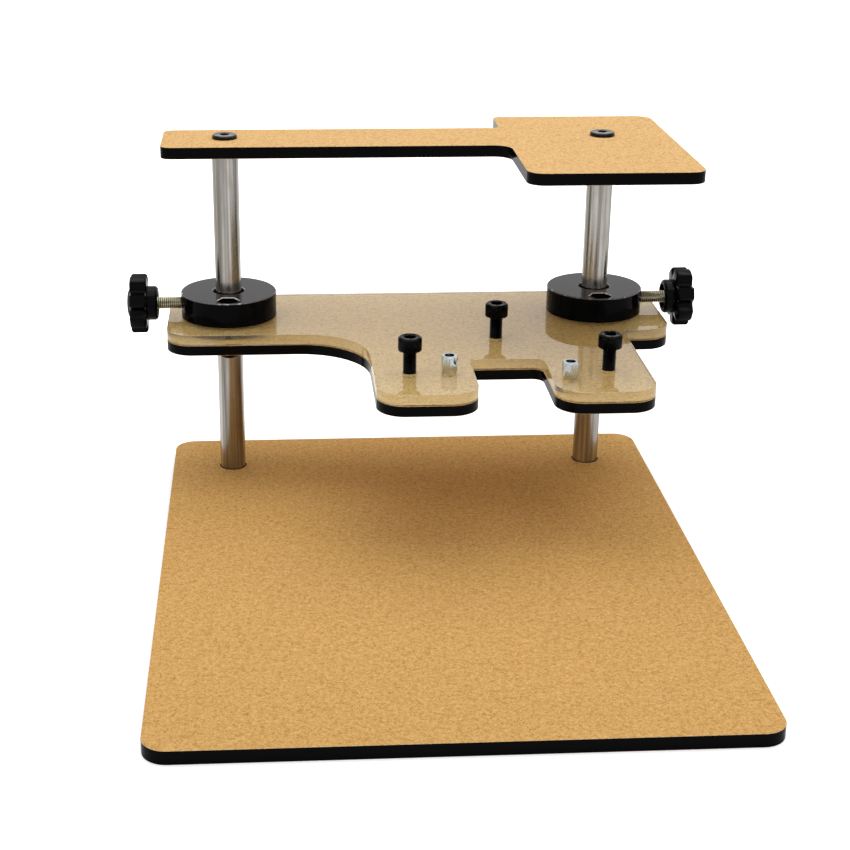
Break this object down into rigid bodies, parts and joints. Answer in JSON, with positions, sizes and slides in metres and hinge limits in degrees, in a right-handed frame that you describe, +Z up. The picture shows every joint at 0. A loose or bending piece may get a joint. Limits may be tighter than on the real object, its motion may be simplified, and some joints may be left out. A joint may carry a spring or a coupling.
{
  "type": "ecu programming frame",
  "caption": "Probing stand for circuit boards: flat base, steel posts tied by a top beam, and a forked plate that slides on the posts, clamped by star knobs.",
  "frame": {"origin": "on the base's underside, below the middle of the line between the two posts", "axes": "+X to the right, +Y to the back and +Z up, seen from where the frame is used"},
  "size_m": [0.223, 0.2513, 0.1398],
  "materials": {
    "kraft_faced_acrylic": "black acrylic sheet with brown kraft masking paper left on its faces, black polished cut edges",
    "clear_acrylic": "clear, polished on top, with brown kraft masking paper left on its underside",
    "black_acrylic": "black, glossy",
    "moulded_black_plastic": "moulded, satin",
    "polished_steel": "ground and polished",
    "black_oxide_steel": "black oxide",
    "zinc_plated_steel": "zinc plated"
  },
  "bodies": {
    "base_frame": {"base_plate": "kraft_faced_acrylic", "left_post": "polished_steel", "right_post": "polished_steel", "left_base_screw": "black_oxide_steel", "right_base_screw": "black_oxide_steel", "top_beam": "kraft_faced_acrylic", "left_top_screw": "black_oxide_steel", "right_top_screw": "black_oxide_steel"},
    "carriage": {"probe_plate": "kraft_faced_acrylic", "clear_cover": "clear_acrylic", "left_collar": "black_acrylic", "right_collar": "black_acrylic", "left_collar_screw": "black_oxide_steel", "right_collar_screw": "black_oxide_steel", "left_collar_nut": "black_oxide_steel", "right_collar_nut": "black_oxide_steel", "left_standoff": "zinc_plated_steel", "right_standoff": "zinc_plated_steel", "left_standoff_screw": "zinc_plated_steel", "right_standoff_screw": "zinc_plated_steel"},
    "left_stud": {"left_clamp_stud": "zinc_plated_steel"},
    "left_knob": {"left_knob": "moulded_black_plastic"},
    "right_stud": {"right_clamp_stud": "zinc_plated_steel"},
    "right_knob": {"right_knob": "moulded_black_plastic"},
    "left_adjuster": {"left_adjuster_screw": "black_oxide_steel"},
    "rear_adjuster": {"rear_adjuster_screw": "black_oxide_steel"},
    "right_adjuster": {"right_adjuster_screw": "black_oxide_steel"}
  },
  "joints": [
    {"name": "carriage_height", "type": "slide", "parent": "base_frame", "child": "carriage", "axis": [0, 0, 1], "range_m": [-0.0435, 0.0549]},
    {"name": "left_stud_travel", "type": "slide", "parent": "carriage", "child": "left_stud", "axis": [-1, 0, 0], "range_m": [0, 0.0016]},
    {"name": "left_knob_turn", "type": "hinge", "parent": "left_stud", "child": "left_knob", "pos_m": [-0.1035, 0, 0.0738], "axis": [-1, 0, 0], "range_deg": [0, 720]},
    {"name": "right_stud_travel", "type": "slide", "parent": "carriage", "child": "right_stud", "axis": [1, 0, 0], "range_m": [0, 0.0016]},
    {"name": "right_knob_turn", "type": "hinge", "parent": "right_stud", "child": "right_knob", "pos_m": [0.1035, 0, 0.0738], "axis": [1, 0, 0], "range_deg": [0, 720]},
    {"name": "left_adjuster_height", "type": "slide", "parent": "carriage", "child": "left_adjuster", "axis": [0, 0, 1], "range_m": [-0.008, 0.006]},
    {"name": "rear_adjuster_height", "type": "slide", "parent": "carriage", "child": "rear_adjuster", "axis": [0, 0, 1], "range_m": [-0.008, 0.006]},
    {"name": "right_adjuster_height", "type": "slide", "parent": "carriage", "child": "right_adjuster", "axis": [0, 0, 1], "range_m": [-0.008, 0.006]}
  ],
  "couplings": [
    {"joint": "left_stud_travel", "follows": "left_knob_turn", "m_per_rad": 0.0001273},
    {"joint": "right_stud_travel", "follows": "right_knob_turn", "m_per_rad": 0.0001273}
  ]
}
